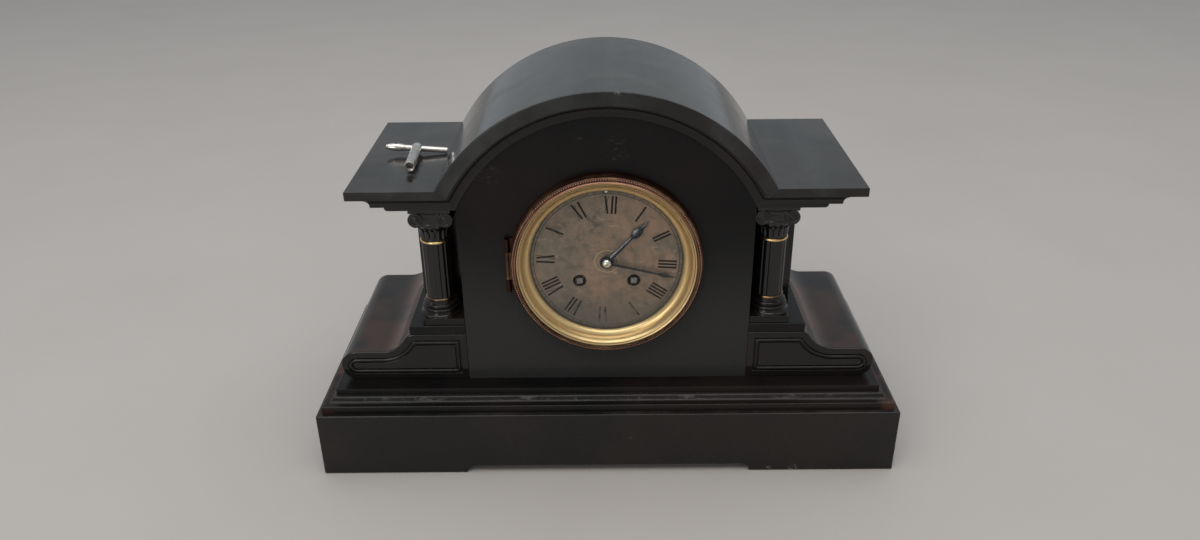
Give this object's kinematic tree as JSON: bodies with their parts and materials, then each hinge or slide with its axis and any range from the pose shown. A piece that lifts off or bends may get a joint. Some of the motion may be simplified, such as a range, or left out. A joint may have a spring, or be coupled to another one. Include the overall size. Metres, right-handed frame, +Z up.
{
  "type": "mantel clock",
  "caption": "Black slate architectural mantel clock with an arched drum top, free columns on scrolled consoles, a hinged glazed bezel, a roman dial and a pendulum movement.",
  "frame": {"origin": "on the table, under the middle of the plinth", "axes": "+X to the right seen from the front, +Y to the back, +Z up; the dial faces -Y"},
  "size_m": [0.44, 0.176, 0.2957],
  "materials": {
    "black_slate": "polished",
    "gilt_brass": "aged gilt",
    "plain_brass": "satin",
    "steel": "satin",
    "blued_steel": "blued",
    "bell_metal": "satin",
    "silvered_dial": "worn silvering",
    "clear_glass": "polished"
  },
  "bodies": {
    "case": {"plinth_front": "black_slate", "plinth_back": "black_slate", "plinth_side_left": "black_slate", "plinth_side_right": "black_slate", "plinth_moulding": "black_slate", "console_left": "black_slate", "console_right": "black_slate", "pedestal_slab_left": "black_slate", "pedestal_slab_right": "black_slate", "column_base_left": "black_slate", "column_base_right": "black_slate", "column_shaft_left": "black_slate", "column_shaft_right": "black_slate", "column_capital_left": "black_slate", "column_capital_right": "black_slate", "wing_left": "black_slate", "wing_right": "black_slate", "front_panel": "black_slate", "arch_moulding": "black_slate", "cornice_left": "black_slate", "cornice_right": "black_slate", "shoulder_slab_left": "black_slate", "shoulder_slab_right": "black_slate", "arch_roof": "black_slate", "back_panel": "black_slate", "column_rings": "gilt_brass", "bezel_pan": "gilt_brass", "hinge_pins": "gilt_brass", "front_plate": "plain_brass", "back_plate": "plain_brass", "plate_pillars": "plain_brass", "suspension_cock": "plain_brass", "back_ring": "plain_brass", "case_straps": "steel", "bell": "bell_metal", "dial_plate": "silvered_dial"},
    "bezel": {"bezel_ring": "gilt_brass", "bezel_glass": "clear_glass"},
    "back_door": {"back_door": "plain_brass"},
    "centre_arbor": {"centre_wheel": "plain_brass", "cannon_pinion": "plain_brass", "minute_hand": "blued_steel", "hand_nut": "steel"},
    "hour_pipe": {"hour_wheel": "plain_brass", "hour_hand": "blued_steel"},
    "minute_wheel": {"minute_wheel": "plain_brass"},
    "intermediate_wheel": {"intermediate_wheel": "plain_brass"},
    "going_barrel": {"going_barrel": "plain_brass"},
    "third_wheel": {"third_wheel": "plain_brass"},
    "escape_wheel": {"escape_wheel": "plain_brass"},
    "pendulum": {"pallet_anchor": "steel", "pendulum_rod": "steel", "pendulum_bob": "plain_brass"},
    "strike_barrel": {"strike_barrel": "plain_brass"},
    "strike_second_wheel": {"strike_second_wheel": "plain_brass"},
    "hammer": {"hammer": "steel"},
    "going_winding_arbor": {"going_winding_arbor": "steel"},
    "strike_winding_arbor": {"strike_winding_arbor": "steel"},
    "regulator_arbor": {"regulator_arbor": "steel"},
    "winding_key": {"winding_key": "steel"}
  },
  "joints": [
    {"name": "bezel_hinge", "type": "hinge", "parent": "case", "child": "bezel", "pos_m": [-0.0711, -0.0636, 0.16687], "axis": [0, 0, -1], "range_deg": [0, 110]},
    {"name": "back_door_hinge", "type": "hinge", "parent": "case", "child": "back_door", "pos_m": [-0.048, 0.0815, 0.16687], "axis": [0, 0, 1], "range_deg": [0, 110]},
    {"name": "minute_hand_turn", "type": "hinge", "parent": "case", "child": "centre_arbor", "pos_m": [0, 0, 0.16687], "axis": [0, 1, 0], "continuous": true},
    {"name": "hour_hand_turn", "type": "hinge", "parent": "case", "child": "hour_pipe", "pos_m": [0, 0, 0.16687], "axis": [0, 1, 0], "continuous": true},
    {"name": "minute_wheel_turn", "type": "hinge", "parent": "case", "child": "minute_wheel", "pos_m": [-0.01128, 0, 0.17098], "axis": [0, 1, 0], "continuous": true},
    {"name": "intermediate_wheel_turn", "type": "hinge", "parent": "case", "child": "intermediate_wheel", "pos_m": [0.01551, 0, 0.17156], "axis": [0, 1, 0], "continuous": true},
    {"name": "going_barrel_turn", "type": "hinge", "parent": "case", "child": "going_barrel", "pos_m": [0.0198, 0, 0.15137], "axis": [0, 1, 0], "continuous": true},
    {"name": "third_wheel_turn", "type": "hinge", "parent": "case", "child": "third_wheel", "pos_m": [-0.00871, 0, 0.17931], "axis": [0, 1, 0], "continuous": true},
    {"name": "escape_wheel_turn", "type": "hinge", "parent": "case", "child": "escape_wheel", "pos_m": [0, 0, 0.19001], "axis": [0, 1, 0], "continuous": true},
    {"name": "pendulum_swing", "type": "hinge", "parent": "case", "child": "pendulum", "pos_m": [0, 0, 0.20001], "axis": [0, 1, 0], "range_deg": [-3, 3]},
    {"name": "strike_barrel_turn", "type": "hinge", "parent": "case", "child": "strike_barrel", "pos_m": [-0.0198, 0, 0.15137], "axis": [0, 1, 0], "continuous": true},
    {"name": "strike_second_wheel_turn", "type": "hinge", "parent": "case", "child": "strike_second_wheel", "pos_m": [-0.0248, 0, 0.1714], "axis": [0, 1, 0], "continuous": true},
    {"name": "hammer_swing", "type": "hinge", "parent": "case", "child": "hammer", "pos_m": [-0.037, 0, 0.18487], "axis": [0, 1, 0], "range_deg": [0, 12]},
    {"name": "going_winding_turn", "type": "hinge", "parent": "case", "child": "going_winding_arbor", "pos_m": [0.0198, 0, 0.15137], "axis": [0, 1, 0], "continuous": true},
    {"name": "strike_winding_turn", "type": "hinge", "parent": "case", "child": "strike_winding_arbor", "pos_m": [-0.0198, 0, 0.15137], "axis": [0, 1, 0], "continuous": true},
    {"name": "regulator_turn", "type": "hinge", "parent": "case", "child": "regulator_arbor", "pos_m": [0, 0, 0.22137], "axis": [0, 1, 0], "continuous": true},
    {"name": "winding_key_lift", "type": "slide", "parent": "case", "child": "winding_key", "axis": [0, 0, 1], "range_m": [0, 0.06]}
  ],
  "couplings": [
    {"joint": "hour_hand_turn", "follows": "minute_hand_turn", "ratio": 0.083333},
    {"joint": "minute_wheel_turn", "follows": "minute_hand_turn", "ratio": -0.33333},
    {"joint": "intermediate_wheel_turn", "follows": "minute_hand_turn", "ratio": -0.125},
    {"joint": "going_barrel_turn", "follows": "minute_hand_turn", "ratio": 0.017857},
    {"joint": "third_wheel_turn", "follows": "minute_hand_turn", "ratio": -10.5},
    {"joint": "escape_wheel_turn", "follows": "minute_hand_turn", "ratio": 110.25},
    {"joint": "strike_second_wheel_turn", "follows": "strike_barrel_turn", "ratio": -7}
  ]
}
